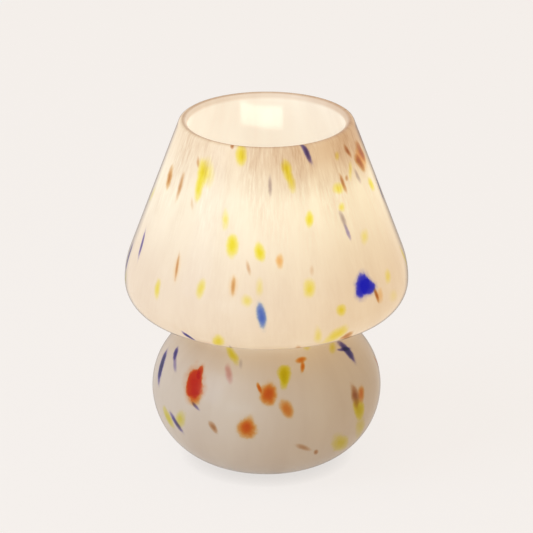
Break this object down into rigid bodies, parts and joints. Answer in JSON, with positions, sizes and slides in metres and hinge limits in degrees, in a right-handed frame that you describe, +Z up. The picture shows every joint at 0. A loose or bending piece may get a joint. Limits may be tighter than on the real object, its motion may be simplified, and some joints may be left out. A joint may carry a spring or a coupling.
{
  "type": "mushroom table lamp",
  "caption": "Mushroom-shaped table lamp of one blown opal glass body with coloured frit, open at the top, with a screw-in globe bulb on a plate in its neck.",
  "frame": {"origin": "on the table, under the lamp's axis, at the underside of the foot pad", "axes": "+Z up along the lamp's axis, -Y towards the viewer of the picture, +Y towards the cord inlet at the back"},
  "size_m": [0.18, 0.18, 0.2275],
  "materials": {
    "opal_glass": "blown opal glass with coloured frit, cased in clear glass",
    "felt": "pressed felt",
    "white_rubber": "moulded white rubber",
    "white_paint": "white powder coat on pressed steel",
    "clear_silicone": "milky silicone",
    "spring_steel": "bright spring steel",
    "rivet_aluminium": "plain aluminium",
    "zinc_steel": "zinc plated",
    "holder_plastic": "white heat-resistant plastic",
    "insert_plastic": "glass-filled plastic",
    "contact_brass": "stamped brass strip",
    "bulb_nickel": "nickel plated brass",
    "bulb_black": "black glass-like insulator",
    "solder": "dull solder",
    "bulb_housing": "white moulded plastic",
    "bulb_diffuser": "frosted diffuser, lit from inside",
    "board_aluminium": "white solder mask on aluminium",
    "led_phosphor": "yellow phosphor",
    "board_green": "green circuit board"
  },
  "bodies": {
    "root": {"glass_body": "opal_glass", "foot_pad": "felt", "cord_grommet": "white_rubber", "support_plate": "white_paint", "plate_ring": "clear_silicone", "leaf_spring_1": "spring_steel", "leaf_spring_2": "spring_steel", "leaf_spring_3": "spring_steel", "spring_rivets": "rivet_aluminium", "threaded_nipple": "zinc_steel", "toothed_washer": "zinc_steel", "lock_nut": "zinc_steel", "holder_cap": "holder_plastic", "holder_grub_screw": "zinc_steel", "holder_body": "holder_plastic", "holder_insert": "insert_plastic", "terminal_screws": "zinc_steel", "centre_contact": "contact_brass", "side_contact": "contact_brass"},
    "bulb_carriage": {"bulb_tip": "solder", "bulb_insulator": "bulb_black"},
    "bulb": {"bulb_shell": "bulb_nickel", "bulb_collar": "bulb_housing", "bulb_globe": "bulb_diffuser", "led_board": "board_aluminium", "led_chips": "led_phosphor", "driver_board": "board_green"}
  },
  "joints": [
    {"name": "bulb_rise", "type": "slide", "parent": "root", "child": "bulb_carriage", "axis": [0, 0, 1], "range_m": [0, 0.00988]},
    {"name": "bulb_turn", "type": "hinge", "parent": "bulb_carriage", "child": "bulb", "pos_m": [0, 0, 0.15], "axis": [0, 0, 1], "range_deg": [0, 1260]}
  ],
  "couplings": [
    {"joint": "bulb_rise", "follows": "bulb_turn", "m_per_rad": 0.00044913}
  ]
}
